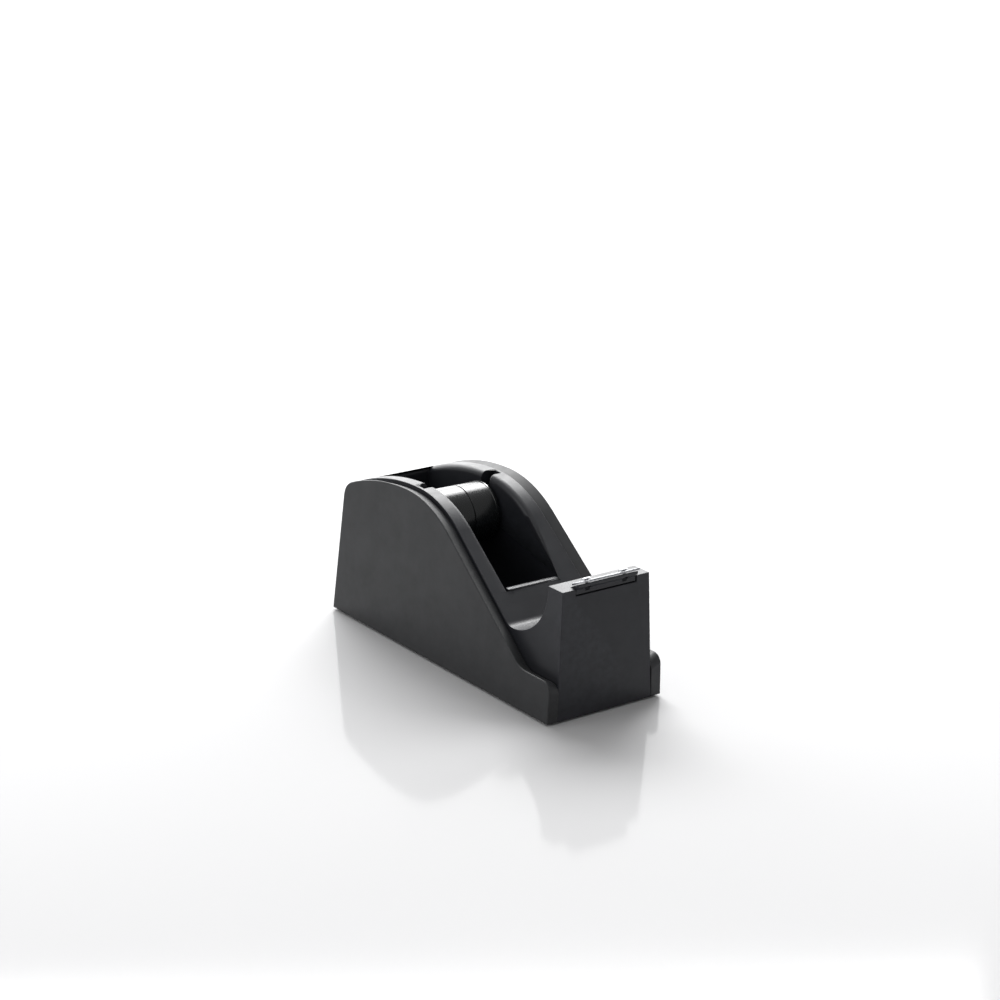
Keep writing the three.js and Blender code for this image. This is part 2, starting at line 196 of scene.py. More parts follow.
def block(name: str, low: Triple, high: Triple) -> bpy.types.Object:
    """Makes a cuboid to cut with or to shape further.

    Args:
        name: Object name.
        low: Lowest corner, in millimetres.
        high: Highest corner, in millimetres.

    Returns:
        The new object.
    """
    release()
    middle = (Vector(low) + Vector(high)) / 2 * MM
    bpy.ops.mesh.primitive_cube_add(size=1, location=middle, scale=(Vector(high) - Vector(low)) * MM)
    piece = bpy.context.active_object
    piece.name = name
    settle(piece)
    return piece


def rod(name: str, radius: float, start: Triple, end: Triple, sides: int = 40) -> bpy.types.Object:
    """Makes a cylinder to cut with, between two points.

    Args:
        name: Object name.
        radius: Radius, in millimetres.
        start: Middle of one end, in millimetres.
        end: Middle of the other end, in millimetres.
        sides: Number of sides.

    Returns:
        The new object.
    """
    release()
    along = Vector(end) - Vector(start)
    bpy.ops.mesh.primitive_cylinder_add(
        vertices=sides, radius=radius * MM, depth=along.length * MM,
        location=(Vector(start) + Vector(end)) / 2 * MM,
        rotation=along.to_track_quat("Z", "Y").to_euler())
    piece = bpy.context.active_object
    piece.name = name
    settle(piece)
    return piece


def combine(piece: bpy.types.Object, tool: bpy.types.Object, operation: str = "DIFFERENCE") -> None:
    """Cuts a piece with a tool, or joins the tool to it, and removes the tool.

    Args:
        piece: Object to change.
        tool: Closed object that cuts or is joined.
        operation: DIFFERENCE, UNION or INTERSECT.
    """
    take(piece)
    bpy.ops.object.modifier_add(type="BOOLEAN")
    cutter = piece.modifiers[-1]
    cutter.operation = operation
    cutter.solver = "EXACT"
    cutter.object = tool
    bpy.ops.object.modifier_apply(modifier=cutter.name)
    bpy.data.objects.remove(tool, do_unlink=True)


def soften(piece: bpy.types.Object, width: float, segments: int = 3, sharper_than: float = 35) -> None:
    """Rounds every edge that turns more than an angle.

    Args:
        piece: Object to change.
        width: Width of the rounding, in millimetres.
        segments: Steps across the rounding.
        sharper_than: Least turn of an edge that is rounded, in degrees.
    """
    take(piece)
    bpy.ops.object.modifier_add(type="BEVEL")
    rounding = piece.modifiers[-1]
    rounding.width = width * MM
    rounding.segments = segments
    rounding.limit_method = "ANGLE"
    rounding.angle_limit = math.radians(sharper_than)
    rounding.use_clamp_overlap = False
    rounding.miter_outer = "MITER_SHARP"
    bpy.ops.object.modifier_apply(modifier=rounding.name)


def copy_of(piece: bpy.types.Object, name: str) -> bpy.types.Object:
    """Copies an object with a mesh of its own.

    Args:
        piece: Object to copy.
        name: Name of the copy.

    Returns:
        The copy.
    """
    take(piece)
    bpy.ops.object.duplicate(linked=False)
    twin = bpy.context.active_object
    twin.name = name
    return twin


def mirrored(piece: bpy.types.Object, name: str) -> bpy.types.Object:
    """Copies an object to the other side of the plane x = 0, faces still outwards."""
    twin = copy_of(piece, name)
    twin.scale.x = -1
    settle(twin)
    face_outwards(twin)
    return twin


def smooth(piece: bpy.types.Object, angle: float = 32) -> None:
    """Shades curved faces smooth and keeps flat ones flat.

    Args:
        piece: Finished object.
        angle: Edges that turn more than this, in degrees, stay sharp.
    """
    take(piece)
    bpy.ops.object.shade_smooth_by_angle(angle=math.radians(angle))
    bpy.ops.object.modifier_add(type="WEIGHTED_NORMAL")
    weighing = piece.modifiers[-1]
    weighing.keep_sharp = True
    weighing.weight = 80
    bpy.ops.object.modifier_apply(modifier=weighing.name)


def hand_over(piece: bpy.types.Object, body: Body, slot: Slot, finish: bpy.types.Material,
              *nodes: str) -> None:
    """Dresses a finished piece and gives it to the body that it moves with.

    Args:
        piece: Finished object.
        body: Body that it rides on.
        slot: Material slot; not used.
        finish: Material.
        nodes: CAD nodes that it stands for.
    """
    face_outwards(piece)
    smooth(piece)
    piece.data.materials.clear()
    piece.data.materials.append(finish)
    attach(piece, body.value)
    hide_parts(*nodes)
    release()
    LOG.info("%s: %d faces, on %s", piece.name, len(piece.data.polygons), body.value)


class Pen:
    """Draws a closed outline in a plane by extruding and spinning one vertex."""

    def __init__(self, name: str, start: Pair, origin: Triple = (0, 0, 0), across: Triple = (0, 1, 0),
                 up: Triple = (0, 0, 1)) -> None:
        """Puts the pen down.

        Args:
            name: Name of the object that is drawn.
            start: First point in the plane, in millimetres.
            origin: Where the plane's zero is, in millimetres.
            across: The plane's first direction.
            up: The plane's second direction.
        """
        self.origin = Vector(origin)
        self.across = Vector(across).normalized()
        self.up = Vector(up).normalized()
        self.at = Vector(start)
        release()
        bpy.ops.mesh.primitive_plane_add(size=MM, location=self.place(self.at))
        self.piece = bpy.context.active_object
        self.piece.name = name
        settle(self.piece)
        bpy.ops.object.mode_set(mode="EDIT")
        bpy.ops.mesh.select_mode(type="VERT")
        bpy.ops.mesh.select_all(action="SELECT")
        bpy.ops.mesh.merge(type="CENTER")

    def place(self, spot: Sequence[float]) -> Vector:
        """Turns a point of the plane into metres in space."""
        return (self.origin + self.across * spot[0] + self.up * spot[1]) * MM

    def line(self, *spots: Sequence[float]) -> "Pen":
        """Draws straight lines through the given points."""
        for spot in spots:
            step = self.place(spot) - self.place(self.at)
            if step.length > 1e-4 * MM:
                bpy.ops.mesh.extrude_vertices_move(TRANSFORM_OT_translate={"value": step})
            self.at = Vector(spot)
        return self

    def arc(self, centre: Sequence[float], turn: float, steps: int) -> "Pen":
        """Draws an arc from where the pen is.

        Args:
            centre: Centre of the arc, in millimetres.
            turn: Angle of the arc in radians, counter-clockwise if positive.
            steps: Number of straight steps.

        Returns:
            The pen.
        """
        bpy.ops.mesh.spin(steps=steps, angle=-turn, center=self.place(centre),
                          axis=self.across.cross(self.up))
        spoke = self.at - Vector(centre)
        cos, sin = math.cos(turn), math.sin(turn)
        self.at = Vector(centre) + Vector((spoke.x * cos - spoke.y * sin, spoke.x * sin + spoke.y * cos))
        return self

    def sweep_to(self, corner: Sequence[float], end: Sequence[float], steps: int) -> "Pen":
        """Draws a parabola that leaves towards a corner and arrives from it.

        Args:
            corner: Corner that the curve rounds.
            end: Last point.
            steps: Number of straight steps.

        Returns:
            The pen.
        """
        start, corner, end = self.at.copy(), Vector(corner), Vector(end)
        for step in range(1, steps + 1):
            t = step / steps
            self.line(start * (1 - t) ** 2 + corner * (2 * t * (1 - t)) + end * t ** 2)
        return self

    def round(self, corner: Sequence[float], after: Sequence[float], radius: float, steps: int) -> "Pen":
        """Draws up to a corner and round it.

        Args:
            corner: Corner to round.
            after: Where the outline goes on after it.
            radius: Radius of the rounding, in millimetres.
            steps: Number of straight steps round it.

        Returns:
            The pen.
        """
        corner, after = Vector(corner), Vector(after)
        back, onward = (self.at - corner).normalized(), (after - corner).normalized()
        half = math.acos(max(-1.0, min(1.0, back.dot(onward)))) / 2
        centre = corner + (back + onward).normalized() * (radius / math.sin(half))
        self.line(corner + back * (radius / math.tan(half)))
        left_hand = back.x * onward.y - back.y * onward.x < 0
        turn = (math.pi - 2 * half) * (1 if left_hand else -1)
        return self.arc(centre, turn, steps)

    def join(self) -> bpy.types.Object:
        """Closes the line into a loop and gives the object."""
        bpy.ops.mesh.select_all(action="SELECT")
        bpy.ops.mesh.remove_doubles(threshold=0.001 * MM)
        mesh = bmesh.from_edit_mesh(self.piece.data)
        for vertex in mesh.verts:
            vertex.select_set(len(vertex.link_edges) == 1)
        mesh.select_flush_mode()
        loose = sum(vertex.select for vertex in mesh.verts)
        bmesh.update_edit_mesh(self.piece.data)
        if loose == 2:
            bpy.ops.mesh.edge_face_add()
        return self.piece

    def slab(self, depth: float) -> bpy.types.Object:
        """Fills the outline and gives it a depth along the plane's normal.

        Args:
            depth: Depth, in millimetres.

        Returns:
            The solid.
        """
        self.join()
        bpy.ops.mesh.select_all(action="SELECT")
        bpy.ops.mesh.edge_face_add()
        normal = self.across.cross(self.up)
        bpy.ops.mesh.extrude_region_move(TRANSFORM_OT_translate={"value": normal * depth * MM})
        face_outwards(self.piece)
        return self.piece

    def turned(self, centre: Triple, axis: Triple, sides: int, closed: bool = True) -> bpy.types.Object:
        """Turns the outline round an axis, as on a lathe.

        Args:
            centre: A point of the axis, in millimetres.
            axis: Direction of the axis.
            sides: Number of sides.
            closed: Whether the outline is a loop, for a ring, and not a line from pole to pole.

        Returns:
            The solid.
        """
        if closed:
            self.join()
        bpy.ops.mesh.select_all(action="SELECT")
        bpy.ops.mesh.spin(steps=sides, angle=2 * math.pi, center=Vector(centre) * MM, axis=axis)
        face_outwards(self.piece)
        return self.piece


# ---- Finishes ------------------------------------------------------------------------------------


class FinishGraph:
    """Node graph of one procedural finish, round a Principled shader."""

    def __init__(self, name: str) -> None:
        """Starts a material.

        Args:
            name: Material name.
        """
        self.material = bpy.data.materials.new(name)
        self.material.use_nodes = True
        self.tree = self.material.node_tree
        self.shader = self.tree.nodes["Principled BSDF"]
        self.spot = self.tree.nodes.new("ShaderNodeTexCoord").outputs["Object"]
        self.relief: Optional[bpy.types.NodeSocket] = None

    def fix(self, **sockets: object) -> None:
        """Sets constant values on the shader's own sockets, by name with _ for a space."""
        for name, value in sockets.items():
            self.shader.inputs[name.replace("_", " ")].default_value = value

    def feed(self, socket: str, source: bpy.types.NodeSocket) -> None:
        """Links a pattern to one of the shader's sockets."""
        self.tree.links.new(source, self.shader.inputs[socket])

    def noise(self, size: float, detail: float = 3, stretch: Triple = (1, 1, 1),
              rough: float = 0.5) -> bpy.types.NodeSocket:
        """Adds a noise pattern on Object coordinates.

        Args:
            size: Size of its features, in millimetres.
            detail: Number of finer layers.
            stretch: How much the pattern is drawn out along each axis.
            rough: Strength of the finer layers.

        Returns:
            The pattern's value.
        """
        turn = self.tree.nodes.new("ShaderNodeMapping")
        turn.inputs["Scale"].default_value = [1 / s for s in stretch]
        self.tree.links.new(self.spot, turn.inputs["Vector"])
        noise = self.tree.nodes.new("ShaderNodeTexNoise")
        noise.inputs["Scale"].default_value = 1 / (size * MM)
        noise.inputs["Detail"].default_value = detail
        noise.inputs["Roughness"].default_value = rough
        self.tree.links.new(turn.outputs["Vector"], noise.inputs["Vector"])
        return noise.outputs["Fac"]

    def cells(self, size: float) -> bpy.types.NodeSocket:
        """Adds a pattern of small cells, whose value is the distance to a cell's middle.

        Args:
            size: Size of a cell, in millimetres.

        Returns:
            The pattern's value.
        """
        cells = self.tree.nodes.new("ShaderNodeTexVoronoi")
        cells.inputs["Scale"].default_value = 1 / (size * MM)
        self.tree.links.new(self.spot, cells.inputs["Vector"])
        return cells.outputs["Distance"]

    def edges(self, start: float = 0.52, full: float = 0.6) -> bpy.types.NodeSocket:
        """Adds a mask of outer edges, where handling rubs the surface.

        Args:
            start: Pointiness at which the mask starts.
            full: Pointiness at which it is full.

        Returns:
            The mask.
        """
        geometry = self.tree.nodes.new("ShaderNodeNewGeometry")
        return self.spread(geometry.outputs["Pointiness"], start, full, 0, 1)

    def spread(self, source: bpy.types.NodeSocket, from_low: float, from_high: float, low: float,
               high: float) -> bpy.types.NodeSocket:
        """Stretches a value's range to another range.

        Args:
            source: Value to stretch.
            from_low: Start of its range.
            from_high: End of its range.
            low: Result at the start.
            high: Result at the end.

        Returns:
            The stretched value.
        """
        node = self.tree.nodes.new("ShaderNodeMapRange")
        for name, value in (("From Min", from_low), ("From Max", from_high), ("To Min", low),
                            ("To Max", high)):
            node.inputs[name].default_value = value
        self.tree.links.new(source, node.inputs["Value"])
        return node.outputs["Result"]

    def product(self, one: bpy.types.NodeSocket, other: bpy.types.NodeSocket) -> bpy.types.NodeSocket:
        """Multiplies two patterns."""
        node = self.tree.nodes.new("ShaderNodeMath")
        node.operation = "MULTIPLY"
        self.tree.links.new(one, node.inputs[0])
        self.tree.links.new(other, node.inputs[1])
        return node.outputs["Value"]

    def tint(self, mask: bpy.types.NodeSocket, low: object, high: object) -> bpy.types.NodeSocket:
        """Mixes two colours by a mask.

        Args:
            mask: 0 for the first colour, 1 for the second.
            low: Colour, or a pattern's colour.
            high: Colour, or a pattern's colour.

        Returns:
            The mixed colour.
        """
        node = self.tree.nodes.new("ShaderNodeMix")
        node.data_type = "RGBA"
        self.tree.links.new(mask, node.inputs[0])
        for socket, value in ((node.inputs[6], low), (node.inputs[7], high)):
            if isinstance(value, bpy.types.NodeSocket):
                self.tree.links.new(value, socket)
            else:
                socket.default_value = (*value, 1)
        return node.outputs[2]

    def emboss(self, height: bpy.types.NodeSocket, depth: float, strength: float = 1) -> None:
        """Adds a layer of relief to the shader's normal.

        Args:
            height: Pattern of heights.
            depth: Height of the relief, in millimetres.
            strength: Share of it that shows.
        """
        bump = self.tree.nodes.new("ShaderNodeBump")
        bump.inputs["Distance"].default_value = depth * MM
        bump.inputs["Strength"].default_value = strength
        self.tree.links.new(height, bump.inputs["Height"])
        if self.relief is not None:
            self.tree.links.new(self.relief, bump.inputs["Normal"])
        self.relief = bump.outputs["Normal"]
        self.feed("Normal", self.relief)


def shade(colour: Triple, factor: float) -> Triple:
    """Gives a colour made lighter or darker by a factor."""
    return tuple(min(1.0, channel * factor) for channel in colour)


@dataclass(frozen=True)
class MouldedPlastic:
    """Injection-moulded plastic with a fine spark-eroded grain and rubbed edges."""

    name: str
    colour: Triple
    roughness: float
    specular: float = 0.5
    grain: float = 0.35
    grain_depth: float = 0.012
    flow: float = 0.12
    rub: float = 1.5

    def make(self) -> bpy.types.Material:
        """Builds the material."""
        graph = FinishGraph(self.name)
        graph.fix(Specular_IOR_Level=self.specular)
        cloud = graph.spread(graph.noise(14, 4), 0.3, 0.7, 0, 1)
        ground = graph.tint(cloud, shade(self.colour, 1 - self.flow), shade(self.colour, 1 + self.flow))
        rubbed = graph.product(graph.edges(), graph.spread(graph.noise(2.5, 3), 0.35, 0.65, 0.2, 1))
        graph.feed("Base Color", graph.tint(rubbed, ground, shade(self.colour, self.rub)))
        graph.feed("Roughness", graph.spread(graph.noise(6, 5), 0.3, 0.7, self.roughness - 0.04,
                                             self.roughness + 0.04))
        graph.emboss(graph.noise(9, 2), 0.03, 0.25)
        graph.emboss(graph.noise(self.grain, 3, rough=0.6), self.grain_depth, 0.7)
        return graph.material


@dataclass(frozen=True)
class GlossyPlastic:
    """Polished plastic with faint flow lines and fine turning scratches round its axis."""

    name: str
    colour: Triple
    roughness: float

    def make(self) -> bpy.types.Material:
        """Builds the material."""
        graph = FinishGraph(self.name)
        graph.fix(Specular_IOR_Level=0.6)
        cloud = graph.spread(graph.noise(8, 3), 0.3, 0.7, 0, 1)
        ground = graph.tint(cloud, shade(self.colour, 0.85), shade(self.colour, 1.2))
        graph.feed("Base Color", graph.tint(graph.edges(0.53, 0.62), ground, shade(self.colour, 1.8)))
        scuffs = graph.noise(0.5, 4, stretch=(0.25, 4, 4))
        graph.feed("Roughness", graph.spread(scuffs, 0.35, 0.7, self.roughness, self.roughness + 0.1))
        graph.emboss(graph.noise(5, 2), 0.03, 0.15)
        graph.emboss(scuffs, 0.002, 0.25)
        return graph.material


@dataclass(frozen=True)
class BrushedSteel:
    """Stainless steel with fine lines of brushing along one axis."""

    name: str
    colour: Triple
    roughness: float
    lines: Triple

    def make(self) -> bpy.types.Material:
        """Builds the material."""
        graph = FinishGraph(self.name)
        graph.fix(Metallic=1.0)
        brushing = graph.noise(0.12, 4, stretch=self.lines, rough=0.65)
        stain = graph.spread(graph.noise(4, 4), 0.35, 0.75, 0, 1)
        ground = graph.tint(stain, self.colour, shade(self.colour, 0.8))
        graph.feed("Base Color", graph.tint(brushing, shade(self.colour, 0.85), ground))
        graph.feed("Roughness", graph.spread(brushing, 0.3, 0.7, self.roughness - 0.06,
                                             self.roughness + 0.1))
        graph.emboss(brushing, 0.006, 0.5)
        return graph.material


@dataclass(frozen=True)
class FootRubber:
    """Matt rubber with a pebbled skin and a trace of dust."""

    name: str
    colour: Triple

    def make(self) -> bpy.types.Material:
        """Builds the material."""
        graph = FinishGraph(self.name)
        graph.fix(Specular_IOR_Level=0.3)
        dust = graph.spread(graph.noise(1.5, 5), 0.45, 0.75, 0, 1)
        graph.feed("Base Color", graph.tint(dust, self.colour, shade(self.colour, 2.2)))
        graph.feed("Roughness", graph.spread(dust, 0, 1, 0.72, 0.9))
        graph.emboss(graph.cells(0.35), 0.03, 0.6)
        return graph.material


@dataclass(frozen=True)
class CastIron:
    """Sand-cast iron with a coarse skin and patches of oxide."""

    name: str
    colour: Triple
    oxide: Triple

    def make(self) -> bpy.types.Material:
        """Builds the material."""
        graph = FinishGraph(self.name)
        graph.fix(Metallic=0.7)
        patches = graph.spread(graph.noise(5, 6), 0.5, 0.7, 0, 1)
        graph.feed("Base Color", graph.tint(patches, self.colour, self.oxide))
        graph.feed("Roughness", graph.spread(patches, 0, 1, 0.55, 0.85))
        graph.emboss(graph.noise(0.9, 5, rough=0.65), 0.12, 0.8)
        return graph.material


@dataclass(frozen=True)
class Finishes:
    """Materials of the whole dispenser."""

    shell: bpy.types.Material
    frame: bpy.types.Material
    hub: bpy.types.Material
    rubber: bpy.types.Material
    blade: bpy.types.Material
    screw: bpy.types.Material
    iron: bpy.types.Material

    @staticmethod
    def mixed() -> "Finishes":
        """Makes every material once."""
        return Finishes(
            shell=MouldedPlastic("charcoal_shell", (0.030, 0.031, 0.033), 0.48, 0.35).make(),
            # Painted shade: the frame plastic is darker than the shell plastic so that the tower's front
            # face, which faces the dark side of the studio, comes out darker.
            frame=MouldedPlastic("dark_frame", (0.017, 0.018, 0.022), 0.42, 0.35).make(),
            hub=GlossyPlastic("black_hub", (0.006, 0.007, 0.0075), 0.2).make(),
            rubber=FootRubber("black_rubber", (0.012, 0.012, 0.013)).make(),
            blade=BrushedSteel("blade_steel", (0.62, 0.63, 0.65), 0.3, (12, 1, 1)).make(),
            screw=BrushedSteel("zinc_plate", (0.5, 0.51, 0.53), 0.34, (1, 1, 1)).make(),
            iron=CastIron("cast_iron", (0.08, 0.078, 0.075), (0.1, 0.05, 0.03)).make(),
        )


# ---- Lines that the parts share ------------------------------------------------------------------


@dataclass(frozen=True)
class BodyLines:
    """Sizes of the body's side view and drafts, which the shells, frame and plate share."""

    length: float = 150
    blade_reach: float = 2.243
    crown_height: float = 67.4
    crown_from_heel: float = 51
    crown_front_radius: float = 47.6
    crown_back_radius: float = 104
    back_lean: float = 0.11
    back_corner_reach: float = 5
    toe_height: float = 17.6
    toe_length: float = 19
    toe_corner_radius: float = 4
    toe_turn_radius: float = 10
    walls_above_table: float = 0.8
    base_width: float = 56
    side_draft: float = 0.03
    frame_width: float = 46.4
    frame_draft: float = 0.04
    tower_height: float = 52.5
    tower_lean: float = 1.8
    valley_floor: float = 29
    valley_radius: float = 21
    valley_turn_radius: float = 5
    gap: float = 0.3

    @property
    def front(self) -> float:
        """Y of the front face at the table."""
        return (self.blade_reach - self.length) / 2

    @property
    def heel(self) -> float:
        """Y of the back face at the table."""
        return self.front + self.length

    @property
    def crown_y(self) -> float:
        """Y of the crown's highest point."""
        return self.heel - self.crown_from_heel

    @property
    def toe_inner(self) -> Vector:
        """Where the toe's top meets the slope."""
        return Vector((self.front + self.toe_length, self.toe_height))

    @property
    def crown_front(self) -> Vector:
        """Centre of the crown's front arc."""
        return Vector((self.crown_y, self.crown_height - self.crown_front_radius))

    @property
    def crown_back(self) -> Vector:
        """Centre of the crown's back arc."""
        return Vector((self.crown_y, self.crown_height - self.crown_back_radius))

    @property
    def slope(self) -> float:
        """Angle of the slope, which touches the crown's front arc, in radians."""
        reach = self.crown_front - self.toe_inner
        return math.atan2(reach.y, reach.x) + math.asin(self.crown_front_radius / reach.length)

    @property
    def slope_normal(self) -> Vector:
        """Upward normal of the slope."""
        return Vector((-math.sin(self.slope), math.cos(self.slope)))

    def slope_y(self, z: float, inset: float) -> float:
        """Gives Y of the slope, moved inward by an inset, at a height."""
        normal = self.slope_normal
        return (normal.dot(self.toe_inner) - inset - normal.y * z) / normal.x

    def back(self, z: float) -> float:
        """Gives Y of the back face at a height."""
        return self.heel - self.back_lean * (z - self.walls_above_table)

    def outer_half(self, z: float) -> float:
        """Gives half the width across the shells at a height."""
        return self.base_width / 2 - self.side_draft * (z - self.walls_above_table)

    def frame_half(self, z: float) -> float:
        """Gives half the centre frame's width at a height."""
        return self.frame_width / 2 - self.frame_draft * z

    def on_top(self, spot: Vector) -> bool:
        """Says whether a point of the side view lies on the slope or the crown."""
        off_slope = self.slope_normal.dot(spot - self.toe_inner)
        off_front = (spot - self.crown_front).length - self.crown_front_radius
        off_back = (spot - self.crown_back).length - self.crown_back_radius
        return min(abs(off_slope), abs(off_front), abs(off_back)) < 0.03

    def tower_front(self, z: float, inset: float = 0) -> float:
        """Gives Y of the tower's front face, moved inward by an inset, at a height."""
        rise = self.tower_height - self.walls_above_table
        return self.front + inset + self.tower_lean / rise * (z - self.walls_above_table)

    def draw_back_and_crown(self, pen: Pen, inset: float, bottom: float) -> None:
        """Draws the heel, back face and crown, to where the slope begins.

        Args:
            pen: Pen that stands at the front end of the bottom line.
            inset: How far inside the outline the line runs.
            bottom: Height of the bottom line.
        """
        lean = Vector((-self.back_lean, 1)).normalized()
        foot = Vector((self.back(bottom) - inset / lean.y, bottom))
        radius = self.crown_back_radius - inset
        to_foot = foot - self.crown_back
        along = to_foot.dot(lean)
        corner = foot + lean * (math.sqrt(along ** 2 - to_foot.length_squared + radius ** 2) - along)
        reach = max(self.back_corner_reach - inset, 1)
        spoke = corner - self.crown_back
        start = math.atan2(spoke.y, spoke.x) + reach / radius
        on_arc = self.crown_back + Vector((math.cos(start), math.sin(start))) * radius
        pen.line(foot, corner - lean * reach).sweep_to(corner, on_arc, 7)
        pen.arc(self.crown_back, math.pi / 2 - start, 14)
        pen.arc(self.crown_front, self.slope, 18)

    def cheek(self, name: str, x: float, depth: float, inset: float, bottom: float) -> bpy.types.Object:
        """Makes a slab in the outline of a cheek: toe, slope, crown and back.

        Args:
            name: Object name.
            x: Where the slab starts.
            depth: Its depth towards +X.
            inset: How far inside the outline its edge runs.
            bottom: Height of its underside.

        Returns:
            The slab.
        """
        front, top = self.front + inset, self.toe_height - inset
        inner = Vector((self.slope_y(top, inset), top))
        pen = Pen(name, (front, bottom), origin=(x, 0, 0))
        self.draw_back_and_crown(pen, inset, bottom)
        pen.round(inner, (front, top), self.toe_turn_radius + inset, 8)
        pen.round((front, top), (front, bottom), max(self.toe_corner_radius - inset, 1), 8)
        return pen.slab(depth)

    def saddle(self, name: str, x: float, depth: float, inset: float, bottom: float) -> bpy.types.Object:
        """Makes a slab in the outline of the centre frame: tower, dip, crown and back.

        Args:
            name: Object name.
            x: Where the slab starts.
            depth: Its depth towards +X.
            inset: How far inside the outline its edge runs.
            bottom: Height of its underside.

        Returns:
            The slab.
        """
        floor, top = self.valley_floor - inset, self.tower_height - inset
        dip = Vector((self.slope_y(floor, inset), floor))
        turn_reach = self.valley_turn_radius * math.tan(self.slope / 2)
        valley = Vector((self.slope_y(self.valley_floor, 0) - turn_reach,
                         self.valley_floor + self.valley_radius))
        pen = Pen(name, (self.tower_front(bottom, inset), bottom), origin=(x, 0, 0))
        self.draw_back_and_crown(pen, inset, bottom)
        pen.round(dip, (dip.x - 1, floor), self.valley_turn_radius + inset, 8)
        rise = math.asin((top - valley.y) / (self.valley_radius + inset))
        pen.arc(valley, -math.pi / 2 - rise, 36)
        pen.line((self.tower_front(top, inset), top))
        return pen.slab(depth)


LINES = BodyLines()


# ---- Screws --------------------------------------------------------------------------------------


@dataclass(frozen=True)
class Screw:
    """Sizes of a pan-head screw with a crosshead recess."""

    radius: float
    length: float
    head_radius: float
    head_height: float

    @property
    def bore(self) -> float:
        """Radius of the hole that the shank needs."""
        return self.radius + LINES.gap

    @property
    def head_bore(self) -> float:
        """Radius of the room that the head needs."""
        return self.head_radius + LINES.gap

    @property
    def seat(self) -> float:
        """Height of the head's underside, where the screw is driven up from below."""
        return LINES.walls_above_table + self.head_height + LINES.gap

    def model(self, name: str) -> bpy.types.Object:
        """Models the screw upright on its point, the underside of its head at height zero.

        Args:
            name: Object name.

        Returns:
            The screw, its head towards +Z.
        """
        head, rise = self.head_radius, self.head_height
        pen = Pen(name, (0, rise), across=(1, 0, 0))
        pen.line((head * 0.45, rise * 0.97), (head * 0.72, rise * 0.86), (head * 0.9, rise * 0.64),
                 (head * 0.98, rise * 0.36), (head, 0.12), (head - 0.1, 0), (self.radius, 0))
        depth, pitch, crest = -0.15, 0.5, 0.12
        while depth > self.radius - self.length + pitch:
            pen.line((self.radius - crest, depth), (self.radius, depth - pitch / 2))
            depth -= pitch
        pen.line((self.radius - crest, depth), (self.radius * 0.4, -self.length), (0, -self.length))
        screw = pen.turned((0, 0, 0), (0, 0, 1), 28, closed=False)
        arm, width = head * 0.55, head * 0.13
        for reach in ((arm, width), (width, arm)):
            recess = block("recess", (-reach[0], -reach[1], rise * 0.35), (reach[0], reach[1], rise + 1))
            edit(recess)
            pick_vertices(recess, lambda v: v.z < rise * 0.5)
            bpy.ops.transform.resize(value=(0.55, 0.55, 1), center_override=(0, 0, 0))
            release()
            combine(screw, recess)
        return screw


BASE_SCREW = Screw(1.5, 7, 2.8, 1.2)
BALLAST_SCREW = Screw(2, 7, 4, 1.3)
BLADE_SCREW = Screw(1, 2.1, 1.9, 0.8)


# ---- Side shells ---------------------------------------------------------------------------------


@dataclass
class SideShells:
    """The two outer cheeks, whose top strips fall towards the centre frame."""

    finishes: Finishes
    wall: float = 2.2
    strip_fall: float = 1.9
    seam: float = 0.08
    edge: float = 0.45

    def cheek(self) -> bpy.types.Object:
        """Models the right-hand shell, hollow, with sharp edges only along the frame."""
        lines = LINES
        seam, bottom = self.seam, lines.walls_above_table
        shell = lines.cheek("right_shell", 16, 16, 0, bottom)
        halve(shell, (lines.base_width / 2, 0, bottom), (1, 0, lines.side_draft))
        soften(shell, self.edge, 4)
        halve(shell, (lines.frame_half(0) + seam, 0, 0), (-1, 0, -lines.frame_draft))
        edit(shell)
        pick_vertices(shell, lambda v: v.z > lines.toe_height - lines.toe_corner_radius - 0.1
                      and abs(v.x - lines.frame_half(v.z) - seam) < 0.05)
        fall = Vector((self.strip_fall * lines.frame_draft, 0, -self.strip_fall)) * MM
        bpy.ops.transform.translate(value=fall)
        release()
        inset = self.wall + self.strip_fall
        hollow = lines.cheek("shell_hollow", 10, 30, inset, 0)
        halve(hollow, (lines.base_width / 2 - self.wall, 0, bottom), (1, 0, lines.side_draft))
        combine(shell, hollow)
        return shell

    def build(self) -> None:
        """Models, dresses and places both shells."""
        right = self.cheek()
        combine(right, BasePlate.room())
        left = mirrored(right, "left_shell")
        hand_over(right, Body.HOUSING, Slot.SHELL, self.finishes.shell, "right_side_shell")
        hand_over(left, Body.HOUSING, Slot.SHELL, self.finishes.shell, "left_side_shell")


# ---- Centre frame --------------------------------------------------------------------------------


